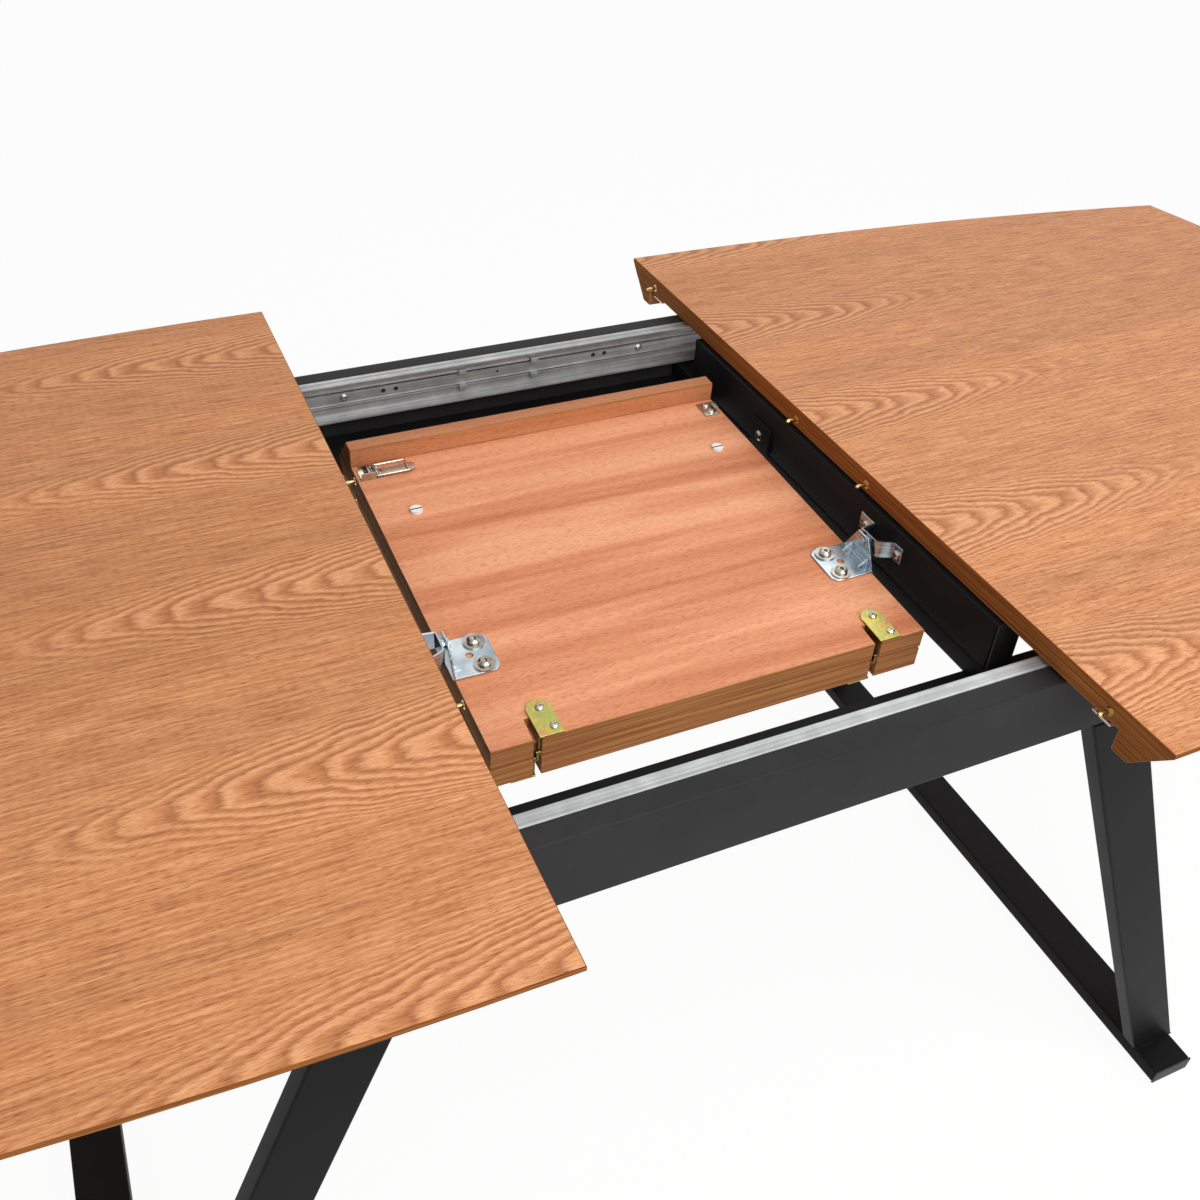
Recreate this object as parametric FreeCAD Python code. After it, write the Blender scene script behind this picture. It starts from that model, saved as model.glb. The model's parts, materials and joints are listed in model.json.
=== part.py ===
import FreeCAD, Part
import math
import os

# Extending dining table with a folding leaf stored under the open top.
# Origin on the floor under the middle of the table, +X along its length, +Z up.
# Sizes are in millimetres and angles in degrees.

# Top halves
table_height = 755.0
top_width = 900.0
end_width_share = 0.856
half_length = 800.0
end_bow = 30.0
opening = 226.0
board_thickness = 20.0
lip_height = 20.0
lip_width = 49.5
edge_thickness = 4.5
bevel_run = 33.0

# Location pins and their sockets
pin_radius = 2.1
pin_nose_radius = 1.2
pin_reach = 11.0
pin_straight = 9.0
pin_depth = 14.0
pin_collar_radius = 4.2
pin_collar_depth = 1.5
pin_drop = 12.5
pin_edge_inset = 62.0
pin_inner_y = 63.0
socket_clearance = 0.3
socket_spare_depth = 1.0

# Leaf, folded and turned over into the well
leaf_length = 400.0
seam_gap = 1.0
seam_chamfer = 1.5
pivot_y_share = 0.1178
pivot_drop = 21.0
turn_over_angle = 178.0
fold_angle = 90.0

# Leaf fold hinges
hinge_x_left = -157.5
hinge_x_right = 156.0
hinge_inset = 2.5
hinge_sheet = 2.0
hinge_layer_gap = 0.2
hinge_plate_width = 19.0
hinge_plate_length = 40.0
hinge_plate_sheet = 1.8
hinge_screw_end = 9.0
hinge_screw_side_share = 0.7
hinge_screw_near_share = 0.22
wing_depth = 24.0
wing_mouth = 7.4
wing_shoulder = 12.0
wing_neck = 9.6
wing_edge_gap = 0.3
wing_recess = 2.5
knuckle_radius = 2.3
hinge_rivet_radius = 1.2
slot_spare = 0.5
slot_mouth_depth = 9.0

# Leaf pivot brackets and the hat brackets that carry them
bracket_sheet = 2.0
bracket_length = 40.0
bracket_width = 46.0
bracket_corner = 5.0
bracket_proud = 1.0
ear_height = 28.0
ear_top_width = 16.0
gusset_size = 8.0
gusset_spacing = 26.0
bracket_bolt_inset = 28.5
bracket_bolt_spacing = 28.0
bracket_hole_inset = 20.0
bracket_hole_radius = 3.5
pivot_rivet_radius = 3.0
pivot_head_radius = 5.0
pivot_head_height = 1.4
running_clearance = 0.05
hat_sheet = 1.8
hat_height = 17.0
hat_web_width = 22.0
hat_ear_width = 22.0
hat_curve_run = 10.0
hat_gap = 3.2
hat_above_pivot = 6.5
hat_screw_inset = 11.0
hat_front_screw_inset = 6.0

# Draw latches, keepers and bumper buttons
latch_edge_inset = 68.0
latch_base_length = 22.0
latch_base_width = 15.0
latch_sheet = 1.2
latch_inset = 4.0
top_latch_setback = 13.5
latch_wall_height = 8.0
latch_pivot_inset = 13.0
latch_pivot_drop = 5.0
latch_pin_radius = 1.2
lever_width = 11.0
lever_length = 40.0
lever_gap = 0.6
lever_sheet = 1.6
lever_tab_radius = 6.5
bail_crank = 7.0
bail_wire_radius = 1.0
bail_clearance = 0.8
bail_length = 31.0
latch_screw_inset = 4.3
keeper_length = 18.0
keeper_width = 24.0
keeper_sheet = 1.5
keeper_inset = 4.0
keeper_hook = 4.0
keeper_screw_inset = 13.0
keeper_screw_spacing = 13.0
button_x = 161.0
button_edge_inset = 138.0
button_radius = 6.0
button_height = 3.0
button_slot_width = 1.6
button_slot_depth = 2.2

# Fasteners: head radius, head height, shank radius, shank length, cross recess
wood_screw_head = 3.6
wood_screw_head_height = 2.2
wood_screw_shank = 1.7
wood_screw_length = 12.0
bolt_head = 5.8
bolt_head_height = 3.4
bolt_shank = 2.6
bolt_length = 15.0
bolt_socket_radius = 2.4
bolt_socket_depth = 2.0
washer_radius = 9.5
washer_thickness = 1.4
frame_screw_head = 4.2
frame_screw_head_height = 2.6
frame_screw_shank = 2.2
frame_screw_length = 8.0
pilot_clearance = 0.1
head_crown_share = 0.5
head_top_share = 0.62
recess_width = 1.0
recess_depth = 1.3
recess_reach_share = 0.55

# Side rails, ledges and cross bars
rail_y_share = 0.7556
rail_thickness = 20.0
rail_height = 70.0
rail_drop = 25.0
rail_half_length = 560.0
rail_wall = 2.0
ledge_clearance = 32.0
ledge_sheet = 3.0
crossbar_x = 221.0
crossbar_width = 25.0
crossbar_height = 50.0
crossbar_end_gap = 52.0
crossbar_base_height = 20.0
tube_wall = 1.8
plate_y = 112.0
plate_width = 35.0
plate_height = 29.0
plate_sheet = 3.0
plate_drop = 57.0
cap_wall = 2.0
cap_plug_depth = 12.0
cap_clearance = 0.3

# Ball-bearing slides
slide_height = 45.0
slide_depth = 12.7
slide_sheet = 1.2
slide_lip = 2.3
slide_rib_height = 3.0
slide_rib_depth = 1.5
slide_rib_spacing = 15.5
slide_stop_x = 42.0
slide_stop_width = 8.0
slide_stop_height = 6.0
slide_stop_depth = 6.5
slide_stop_spacing = 19.0
slide_hole_x = 123.0
slide_hole_spacing = 14.0
slide_hole_radius = 2.6
slide_centre_hole = 1.6
slide_screw_x = 173.0
slide_screw_far_x = 430.0
slide_clearance = 0.3
ball_radius = 2.4
member_length = 500.0
member_start = 50.0
member_sheet = 1.5
member_depth = 8.8
cage_length = 170.0
cage_start = 187.0
cage_width = 5.6
cage_sheet = 1.0
cage_clearance = 0.1
cage_ball_count = 6
angle_sheet = 2.0
angle_flange = 26.0
angle_drop = 40.0
angle_screw_count = 4
angle_end_margin = 40.0
angle_rivet_radius = 2.5
angle_rivet_head = 5.0

# Sled legs
post_top_x = 315.0
post_foot_x = 600.0
post_splay = 26.0
post_width = 55.0
post_wall = 2.0
runner_width = 54.0
runner_height = 20.0
runner_overhang = 34.0
pad_height = 3.0
pad_length = 60.0
pad_width = 30.0
pad_inset = 12.0

# One overrun serves all cuts
overrun = 5.0

# Levels and places that follow from the sizes above
under_z = table_height - board_thickness
lip_z = under_z - lip_height
rail_top = table_height - rail_drop
rail_bottom = rail_top - rail_height
half_width = top_width / 2
end_width = top_width * end_width_share
pin_outer_y = half_width - pin_edge_inset
latch_y = half_width - latch_edge_inset
button_y = half_width - button_edge_inset
pivot_y = top_width * pivot_y_share
rail_y = half_width * rail_y_share
rail_inner_y = rail_y - rail_thickness
ledge_inner_y = pivot_y + pivot_y + ledge_clearance
crossbar_half_length = rail_inner_y - crossbar_end_gap
post_foot_y = rail_y + post_splay
leaf_edge = leaf_length / 2
seam_y = seam_gap / 2
pivot_z = under_z - pivot_drop
fold_y = seam_y + hinge_inset
fold_z = table_height - hinge_inset
slide_low = rail_top - slide_height
slide_face = rail_inner_y - slide_depth
base_top = rail_bottom + ledge_sheet + crossbar_base_height
runner_top = pad_height + runner_height

Vector = FreeCAD.Vector
X_AXIS = Vector(1, 0, 0)
Y_AXIS = Vector(0, 1, 0)
Z_AXIS = Vector(0, 0, 1)
nodes = {}
hex_turns = [math.pi * side / 3 for side in range(6)]
curve_steps = 10


def box(x0, x1, y0, y1, z0, z1):
    return Part.makeBox(x1 - x0, y1 - y0, z1 - z0, Vector(x0, y0, z0))


def rod(start, end, radius):
    along = end.sub(start)
    return Part.makeCylinder(radius, along.Length, start, along)


def cone(start, end, radius, end_radius):
    along = end.sub(start)
    return Part.makeCone(radius, end_radius, along.Length, start, along)


def plate(points, along):
    """A flat outline given by its corner points, thickened along a vector."""
    return Part.Face(Part.makePolygon(points + points[:1])).extrude(along)


def profile_x(points, x0, x1):
    """An outline of (y, z) points run along X."""
    return plate([Vector(x0, y, z) for y, z in points], X_AXIS * (x1 - x0))


def joined(solids):
    return solids[0].multiFuse(solids[1:]).removeSplitter() if len(solids) > 1 else solids[0]


def cut(solid, tools):
    return solid.cut(tools) if tools else solid


def shifted(shape, x, y, z):
    copy = shape.copy()
    copy.translate(Vector(x, y, z))
    return copy


def mirrored_x(shape):
    return shape.mirror(Vector(0, 0, 0), X_AXIS)


def mirrored_y(shape):
    return shape.mirror(Vector(0, 0, 0), Y_AXIS)


def both_ends(shape):
    return [shape, mirrored_x(shape)]


def both_sides(shape):
    return [shape, mirrored_y(shape)]


def turned_x(shape, y, z, angle):
    """Turned about the line along X at (y, z)."""
    copy = shape.copy()
    copy.rotate(Vector(0, y, z), X_AXIS, angle)
    return copy


def add(node, *solids):
    """Gives a node one or more separate solids."""
    nodes.setdefault(node, []).extend(solids)


def export_nodes():
    os.makedirs("parts", exist_ok=True)
    for node, solids in nodes.items():
        shape = solids[0] if len(solids) == 1 else Part.makeCompound(solids)
        shape.exportStep(os.path.join("parts", node + ".step"))


def cross_recess(crown, inward, head):
    """Two crossed slots sunk into a head from its crown."""
    reach = head * recess_reach_share
    half = recess_width / 2
    slots = joined([box(-reach, reach, -half, half, -overrun, recess_depth),
                    box(-half, half, -reach, reach, -overrun, recess_depth)])
    slots.Placement = FreeCAD.Placement(crown, FreeCAD.Rotation(Z_AXIS, inward))
    return slots


def crowned(seat, inward, head, head_height, shank, length):
    """A crowned head on its seat, with its shank along the inward direction."""
    rim = seat.sub(inward * (head_height * head_crown_share))
    crown = seat.sub(inward * head_height)
    return joined([rod(rim, seat, head), cone(rim, crown, head, head * head_top_share),
                   rod(seat, seat.add(inward * length), shank)])


def screw(seat, inward, head, head_height, shank, length):
    """A crowned screw with a cross recess."""
    recess = cross_recess(seat.sub(inward * head_height), inward, head)
    return crowned(seat, inward, head, head_height, shank, length).cut(recess)


def pilot(seat, inward, shank, length):
    start = seat.sub(inward * overrun)
    return rod(start, seat.add(inward * (length + pilot_clearance)), shank + pilot_clearance)


def wood_screw(x, y, z):
    return screw(Vector(x, y, z), Z_AXIS, wood_screw_head, wood_screw_head_height,
                 wood_screw_shank, wood_screw_length)


def wood_pilot(x, y, z):
    return pilot(Vector(x, y, z), Z_AXIS, wood_screw_shank, wood_screw_length)


# Outline of a top half, with its inner end on x = 0

def top_corner(inset):
    """Where the bowed side and the bowed end meet, both moved in by the inset."""
    side, end = side_arc(inset), end_arc(inset)
    gap = math.hypot(end["x"], side["y"])
    along = (side["radius"] ** 2 - end["radius"] ** 2 + gap ** 2) / (2 * gap)
    across = math.sqrt(side["radius"] ** 2 - along ** 2)
    ux, uy = end["x"] / gap, -side["y"] / gap
    return Vector(along * ux + across * uy, side["y"] + along * uy - across * ux, 0)


def side_arc(inset):
    sweep = half_length - end_bow
    sag = half_width - end_width / 2
    radius = (sweep ** 2 + sag ** 2) / (2 * sag)
    return {"y": half_width - radius, "radius": radius - inset}


def end_arc(inset):
    chord = end_width / 2
    radius = (chord ** 2 + end_bow ** 2) / (2 * end_bow)
    return {"x": half_length - radius, "radius": radius - inset}


def top_outline(inset, z):
    side = side_arc(inset)
    corner = top_corner(inset)
    middle_angle = math.atan2(corner.x, corner.y - side["y"]) / 2
    middle = Vector(side["radius"] * math.sin(middle_angle),
                    side["y"] + side["radius"] * math.cos(middle_angle), 0)
    inner = Vector(0, half_width - inset, 0)
    tip = Vector(half_length - inset, 0, 0)

    def back(point):
        return Vector(point.x, point.y, z)

    def front(point):
        return Vector(point.x, -point.y, z)

    edges = [Part.makeLine(front(inner), back(inner)),
             Part.Arc(back(inner), back(middle), back(corner)).toShape(),
             Part.Arc(back(corner), back(tip), front(corner)).toShape(),
             Part.Arc(front(corner), front(middle), front(inner)).toShape()]
    return Part.Wire(edges)


def bevel_inset(depth):
    """How far the bevelled edge has run in at a depth below the top."""
    return bevel_run * (depth - edge_thickness) / (board_thickness + lip_height - edge_thickness)


def half_board():
    slab = Part.Face(top_outline(0, table_height)).extrude(-Z_AXIS * edge_thickness)
    bevel = Part.makeLoft([top_outline(0, table_height - edge_thickness),
                           top_outline(bevel_inset(board_thickness), under_z)], True, True)
    return joined([slab, bevel])


def half_lip():
    ring = Part.makeLoft([top_outline(bevel_inset(board_thickness), under_z),
                          top_outline(bevel_run, lip_z)], True, True)
    pocket = Part.Face(top_outline(lip_width, lip_z - overrun))
    return ring.cut(pocket.extrude(Z_AXIS * (lip_height + overrun)))


# Fittings on a panel whose edge is at edge_x; the panel is on the +X side of pins and latches

def location_pin(edge_x, y):
    """A slim pin with a tapered nose and a collar let in flush with the panel's edge."""
    z = table_height - pin_drop
    shoulder = Vector(edge_x - pin_straight, y, z)
    collar = rod(Vector(edge_x, y, z), Vector(edge_x + pin_collar_depth, y, z), pin_collar_radius)
    return joined([rod(shoulder, Vector(edge_x + pin_depth, y, z), pin_radius), collar,
                   cone(shoulder, Vector(edge_x - pin_reach, y, z), pin_radius, pin_nose_radius)])


def pin_seat(edge_x, y):
    z = table_height - pin_drop
    mouth = Vector(edge_x - overrun, y, z)
    collar = rod(mouth, Vector(edge_x + pin_collar_depth, y, z), pin_collar_radius + pilot_clearance)
    return joined([rod(mouth, Vector(edge_x + pin_depth, y, z), pin_radius + pilot_clearance), collar])


def pin_socket(edge_x, y):
    z = table_height - pin_drop
    return rod(Vector(edge_x - pin_reach - socket_spare_depth, y, z), Vector(edge_x + overrun, y, z),
               pin_radius + socket_clearance)


def latch_base(edge_x, y):
    """A folded steel channel with two walls that carry the lever's pin."""
    x0 = edge_x + latch_inset
    x1 = x0 + latch_base_length
    half = latch_base_width / 2
    sheet = box(x0, x1, y - half, y + half, under_z - latch_sheet, under_z)
    wall_end = edge_x + latch_pivot_inset + latch_pivot_drop
    walls = [box(x0, wall_end, y + side, y + side + latch_sheet, under_z - latch_wall_height, under_z)
             for side in (-half, half - latch_sheet)]
    base = joined([sheet] + walls)
    pin = latch_axis(edge_x, y, half + overrun, latch_pin_radius + running_clearance)
    return cut(base, [pin, wood_pilot(*latch_screw(edge_x, y))])


def latch_screw(edge_x, y):
    x = edge_x + latch_inset + latch_base_length - latch_screw_inset
    return x, y, under_z - latch_sheet


def latch_axis(edge_x, y, reach, radius):
    x = edge_x + latch_pivot_inset
    z = under_z - latch_pivot_drop
    return rod(Vector(x, y - reach, z), Vector(x, y + reach, z), radius)


def lever_crank(edge_x, y, reach, radius):
    x = edge_x + latch_pivot_inset + bail_crank
    z = under_z - latch_pivot_drop
    return rod(Vector(x, y - reach, z), Vector(x, y + reach, z), radius)


def latch_lever(edge_x, y):
    """A flat tongue with a rounded tab, and a tubular eye turned about its pin."""
    x0 = edge_x + latch_pivot_inset
    x1 = x0 + lever_length
    half = lever_width / 2
    z1 = under_z - latch_sheet - lever_gap
    z0 = z1 - lever_sheet
    eye_radius = latch_pin_radius + lever_sheet
    pin_reach_y = latch_base_width / 2
    tongue = box(x0, x1, y - half, y + half, z0, z1)
    tab = rod(Vector(x1, y, z0), Vector(x1, y, z1), lever_tab_radius)
    eye = latch_axis(edge_x, y, half, eye_radius)
    crank = lever_crank(edge_x, y, half, bail_wire_radius + lever_sheet)
    pin = latch_axis(edge_x, y, pin_reach_y, latch_pin_radius)
    lever = joined([tongue, tab, eye, crank, pin])
    screw_room = Vector(*latch_screw(edge_x, y))
    clear = rod(screw_room.sub(Z_AXIS * lever_length), screw_room, wood_screw_head + slot_spare)
    hole = lever_crank(edge_x, y, half + overrun, bail_wire_radius + running_clearance)
    return lever.cut([hole, clear])


def latch_bail(edge_x, y, outward):
    """A wire loop hung in the lever's eye, laid over the lever or out past the panel's edge."""
    x0 = edge_x + latch_pivot_inset + bail_crank
    x1 = x0 - bail_length if outward else x0 + bail_length
    z = under_z - latch_pivot_drop
    half = latch_base_width / 2 + bail_clearance + bail_wire_radius
    legs = [rod(Vector(x0, y + side, z), Vector(x1, y + side, z), bail_wire_radius)
            for side in (-half, half)]
    axle = rod(Vector(x0, y - half, z), Vector(x0, y + half, z), bail_wire_radius)
    bow = rod(Vector(x1, y - half, z), Vector(x1, y + half, z), bail_wire_radius)
    rounds = [Part.makeSphere(bail_wire_radius, Vector(x, y + side, z))
              for x in (x0, x1) for side in (-half, half)]
    return joined([axle, bow] + legs + rounds)


def keeper(edge_x, y):
    """A hooked plate on a panel that lies on the -X side of its edge."""
    x1 = edge_x - keeper_inset
    x0 = x1 - keeper_length
    half = keeper_width / 2
    sheet = box(x0, x1, y - half, y + half, under_z - keeper_sheet, under_z)
    hook = box(x1 - keeper_sheet, x1, y - half / 2, y + half / 2, under_z - keeper_hook, under_z)
    curl = box(x1 - keeper_hook, x1, y - half / 2, y + half / 2,
               under_z - keeper_hook - keeper_sheet, under_z - keeper_hook)
    return cut(joined([sheet, hook, curl]), [wood_pilot(*place) for place in keeper_screws(edge_x, y)])


def keeper_screws(edge_x, y):
    x = edge_x - keeper_screw_inset
    return [(x, y + side, under_z - keeper_sheet)
            for side in (-keeper_screw_spacing / 2, keeper_screw_spacing / 2)]


def button(x, y):
    disc = rod(Vector(x, y, under_z - button_height), Vector(x, y, under_z), button_radius)
    slot = box(x - button_radius, x + button_radius, y - button_slot_width / 2, y + button_slot_width / 2,
               under_z - button_height - overrun, under_z - button_height + button_slot_depth)
    return disc.cut(slot)


# Slides: the back one, mirrored to the front

def slide_section(y0, y1, z0, z1, sheet, lip):
    """A channel section open towards -Y, with lips turned in at its mouth."""
    outer = [(y0, z0), (y1, z0), (y1, z1), (y0, z1), (y0, z1 - lip), (y0 + sheet, z1 - lip),
             (y0 + sheet, z1 - sheet), (y1 - sheet, z1 - sheet), (y1 - sheet, z0 + sheet),
             (y0 + sheet, z0 + sheet), (y0 + sheet, z0 + lip), (y0, z0 + lip)]
    return outer


def slide_channel():
    middle_z = slide_low + slide_height / 2
    web_y = rail_inner_y - slide_sheet
    section = slide_section(slide_face, rail_inner_y, slide_low, rail_top, slide_sheet, slide_lip)
    pieces = [profile_x(section, -rail_half_length, rail_half_length)]
    for side in (-slide_rib_spacing / 2, slide_rib_spacing / 2):
        z = middle_z + side - slide_rib_height / 2
        pieces.append(box(-rail_half_length, rail_half_length, web_y - slide_rib_depth, web_y,
                          z, z + slide_rib_height))
    for end in (-slide_stop_x, slide_stop_x):
        for side in (-slide_stop_spacing / 2, slide_stop_spacing / 2):
            x = end - slide_stop_width / 2
            z = middle_z + side - slide_stop_height / 2
            pieces.append(box(x, x + slide_stop_width, web_y - slide_stop_depth, web_y,
                              z, z + slide_stop_height))
    tools = [pilot(Vector(x, web_y, middle_z), Y_AXIS, frame_screw_shank, frame_screw_length)
             for x in slide_screw_places()]
    holes = [(0, slide_centre_hole)]
    holes += [(end + side * slide_hole_spacing / 2, slide_hole_radius)
              for end in (-slide_hole_x, slide_hole_x) for side in (-1, 1)]
    tools += [rod(Vector(x, web_y - overrun, middle_z), Vector(x, rail_inner_y, middle_z), radius)
              for x, radius in holes]
    return joined(pieces).cut(tools)


def slide_screw_places():
    return [-slide_screw_far_x, -slide_screw_x, slide_screw_x, slide_screw_far_x]


def ball_rows():
    """Heights of the two rows of balls."""
    step = slide_sheet + slide_clearance + ball_radius
    return rail_top - step, slide_low + step


def slide_member():
    """The inner channel of the right half, open towards the rail."""
    upper, lower = ball_rows()
    z1 = upper - ball_radius - slide_clearance
    z0 = lower + ball_radius + slide_clearance
    x0 = member_start + opening
    y1 = slide_face + member_depth
    web_y = slide_face + member_sheet
    section = [(slide_face, z0), (y1, z0), (y1, z0 + member_sheet), (web_y, z0 + member_sheet),
               (web_y, z1 - member_sheet), (y1, z1 - member_sheet), (y1, z1), (slide_face, z1)]
    member = profile_x(section, x0, x0 + member_length)
    return cut(member, [angle_rivet_hole(x) for x in angle_places()])


def angle_places():
    x0 = member_start + opening + angle_end_margin
    step = (member_length - 2 * angle_end_margin) / (angle_screw_count - 1)
    return [x0 + step * index for index in range(angle_screw_count)]


def angle_rivet_hole(x):
    z = slide_low + slide_height / 2
    y = slide_face - angle_sheet
    far = slide_face + member_sheet + overrun
    return rod(Vector(x, y - overrun, z), Vector(x, far, z), angle_rivet_radius)


def angle_rivet(x):
    z = slide_low + slide_height / 2
    y0 = slide_face - angle_sheet
    y1 = slide_face + member_sheet
    shank = rod(Vector(x, y0, z), Vector(x, y1, z), angle_rivet_radius)
    head = rod(Vector(x, y0 - angle_sheet, z), Vector(x, y0, z), angle_rivet_head)
    return joined([head, shank])


def slide_angle():
    """The bent strip that hangs the inner channel from the board."""
    x0 = member_start + opening
    y1 = slide_face
    y0 = y1 - angle_flange
    leg = box(x0, x0 + member_length, y1 - angle_sheet, y1, under_z - angle_drop, under_z)
    flange = box(x0, x0 + member_length, y0, y1, under_z - angle_sheet, under_z)
    tools = [wood_pilot(*place) for place in angle_screws()] + [angle_rivet_hole(x) for x in angle_places()]
    return joined([leg, flange]).cut(tools)


def angle_screws():
    y = slide_face - angle_flange / 2
    return [(x, y, under_z - angle_sheet) for x in angle_places()]


def cage_row(z):
    """One row of balls with its strip, at the right half's rest place."""
    x0 = cage_start + opening / 2
    y = slide_face + slide_depth / 2
    strip = box(x0, x0 + cage_length, y - cage_width / 2, y + cage_width / 2,
                z - cage_sheet / 2, z + cage_sheet / 2)
    pitch = cage_length / cage_ball_count
    middles = [Vector(x0 + pitch * index + pitch / 2, y, z) for index in range(cage_ball_count)]
    strip = strip.cut([Part.makeSphere(ball_radius + cage_clearance, middle) for middle in middles])
    return [strip] + [Part.makeSphere(ball_radius, middle) for middle in middles]


def make_slides():
    channel = slide_channel()
    add("slide_channels", *both_sides(channel))
    members = both_sides(slide_member())
    angles = both_sides(slide_angle())
    cages = [piece for z in ball_rows() for piece in cage_row(z)]
    cages += [mirrored_y(piece) for piece in cages]
    rivets = [piece for x in angle_places() for piece in both_sides(angle_rivet(x))]
    for side, pieces in (("right", [members, angles, cages, rivets]),
                         ("left", [[mirrored_x(piece) for piece in group]
                                   for group in (members, angles, cages, rivets)])):
        add(side + "_slide_members", *pieces[0])
        add(side + "_slide_angles", *pieces[1])
        add(side + "_slide_angles", *pieces[3])
        add(side + "_ball_cages", *pieces[2])


# Top halves with their fittings

def make_tops():
    pin_places = [-pin_outer_y, -pin_inner_y, pin_inner_y, pin_outer_y]
    latch_places = [-latch_y, latch_y]
    board = shifted(half_board(), opening, 0, 0)
    lip = shifted(half_lip(), opening, 0, 0)
    angle_seats = [(x, side * y, z) for x, y, z in angle_screws() for side in (-1, 1)]
    latch_x = opening + top_latch_setback
    right_seats = angle_seats + [latch_screw(latch_x, y) for y in latch_places]
    left_seats = [(-x, y, z) for x, y, z in angle_seats]
    left_seats += [place for y in latch_places for place in keeper_screws(-opening, y)]
    right_tools = [pin_seat(opening, y) for y in pin_places] + [wood_pilot(*seat) for seat in right_seats]
    left_tools = [pin_socket(-opening, y) for y in pin_places] + [wood_pilot(*seat) for seat in left_seats]
    add("right_top_board", board.cut(right_tools))
    add("left_top_board", mirrored_x(board).cut(left_tools))
    add("right_top_lip", lip)
    add("left_top_lip", mirrored_x(lip))
    add("right_top_pins", *[location_pin(opening, y) for y in pin_places])
    add("right_top_screws", *[wood_screw(*seat) for seat in right_seats])
    add("left_top_screws", *[wood_screw(*seat) for seat in left_seats])
    add("left_top_keepers", *[keeper(-opening, y) for y in latch_places])
    add("right_top_latch_bases", *[latch_base(latch_x, y) for y in latch_places])
    for side, y in (("front", -latch_y), ("back", latch_y)):
        add(side + "_latch_lever", latch_lever(latch_x, y))
        add(side + "_latch_bail", latch_bail(latch_x, y, True))


# The leaf, drawn laid flat in the open top and then folded and turned into the well

def leaf_panel():
    """The front half's board: its seam edge is eased so that the halves roll past each other."""
    edge = half_width
    section = [(-seam_y - seam_chamfer, table_height), (-edge, table_height),
               (-edge, table_height - edge_thickness), (bevel_inset(board_thickness) - edge, under_z),
               (-seam_y, under_z), (-seam_y, table_height - seam_chamfer)]
    return profile_x(section, -leaf_edge, leaf_edge)


def leaf_lip():
    edge = half_width
    section = [(bevel_inset(board_thickness) - edge, under_z), (bevel_run - edge, lip_z),
               (lip_width - edge, lip_z), (lip_width - edge, under_z)]
    return profile_x(section, -leaf_edge, leaf_edge)


def hinge_layer(hinge_x, index):
    """The X span of one of the three sheets side by side in a hinge slot."""
    x1 = hinge_x - index * (hinge_sheet + hinge_layer_gap)
    return x1 - hinge_sheet, x1


def hinge_slot(hinge_x):
    x0 = hinge_layer(hinge_x, 2)[0] - slot_spare
    deep = box(x0, hinge_x, -wing_depth - slot_spare, overrun, under_z - overrun,
               table_height - slot_mouth_depth)
    mouth = box(x0, hinge_x, -wing_mouth - slot_spare, overrun, under_z, table_height + overrun)
    return joined([deep, mouth])


def hinge_wing(x0, x1):
    """The upright web of a hinge plate, rising through the slot to its knuckle by the seam."""
    edge = -seam_y - wing_recess
    outline = [(-wing_depth, under_z - hinge_plate_sheet), (-wing_depth, table_height - wing_shoulder),
               (-wing_mouth, table_height - wing_neck), (-fold_y - knuckle_radius, fold_z),
               (edge, fold_z), (edge, under_z - hinge_plate_sheet)]
    web = profile_x(outline, x0, x1)
    knuckle = rod(Vector(x0, -fold_y, fold_z), Vector(x1, -fold_y, fold_z), knuckle_radius)
    hole = rod(Vector(x0 - overrun, -fold_y, fold_z), Vector(x1 + overrun, -fold_y, fold_z),
               hinge_rivet_radius + running_clearance)
    return joined([web, knuckle]), hole


def hinge_plate(hinge_x, index, side):
    """A screwed plate under the board with its wing on the slot side."""
    x0, x1 = hinge_layer(hinge_x, index)
    near = x1 if side > 0 else x0
    far = near + side * hinge_plate_width
    low, high = min(x0, far), max(x1, far)
    edge = -seam_y - wing_edge_gap
    radius = (high - low) / 2
    tip = Vector(low + radius, radius - hinge_plate_length, under_z)
    sheet = joined([box(low, high, tip.y, edge, under_z - hinge_plate_sheet, under_z),
                    rod(tip.sub(Z_AXIS * hinge_plate_sheet), tip, radius)])
    wing, hole = hinge_wing(x0, x1)
    tools = [hole] + [wood_pilot(*seat) for seat in hinge_screws(hinge_x, index, side)]
    return joined([sheet, wing]).cut(tools)


def hinge_screws(hinge_x, index, side):
    x0, x1 = hinge_layer(hinge_x, index)
    near = x1 if side > 0 else x0
    z = under_z - hinge_plate_sheet
    first = (near + side * hinge_plate_width / 2, hinge_screw_end - hinge_plate_length, z)
    second = (near + side * hinge_plate_width * hinge_screw_side_share,
              -hinge_plate_length * hinge_screw_near_share, z)
    return [first, second]


def hinge_link(hinge_x):
    """The short strap between the two knuckles of a fold hinge, with the leaf laid flat."""
    x0, x1 = hinge_layer(hinge_x, 1)
    bar = box(x0, x1, -fold_y, fold_y, fold_z - knuckle_radius, fold_z + knuckle_radius)
    ends = [rod(Vector(x0, y, fold_z), Vector(x1, y, fold_z), knuckle_radius) for y in (-fold_y, fold_y)]
    holes = [rod(Vector(x0 - overrun, y, fold_z), Vector(x1 + overrun, y, fold_z), hinge_rivet_radius)
             for y in (-fold_y, fold_y)]
    return joined([bar] + ends).cut(holes)


def hinge_rivets(hinge_x):
    front_x = hinge_layer(hinge_x, 0)[1]
    back_x = hinge_layer(hinge_x, 2)[0]
    x0, x1 = hinge_layer(hinge_x, 1)
    return [rod(Vector(x0, -fold_y, fold_z), Vector(front_x, -fold_y, fold_z), hinge_rivet_radius),
            rod(Vector(back_x, fold_y, fold_z), Vector(x1, fold_y, fold_z), hinge_rivet_radius)]


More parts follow.
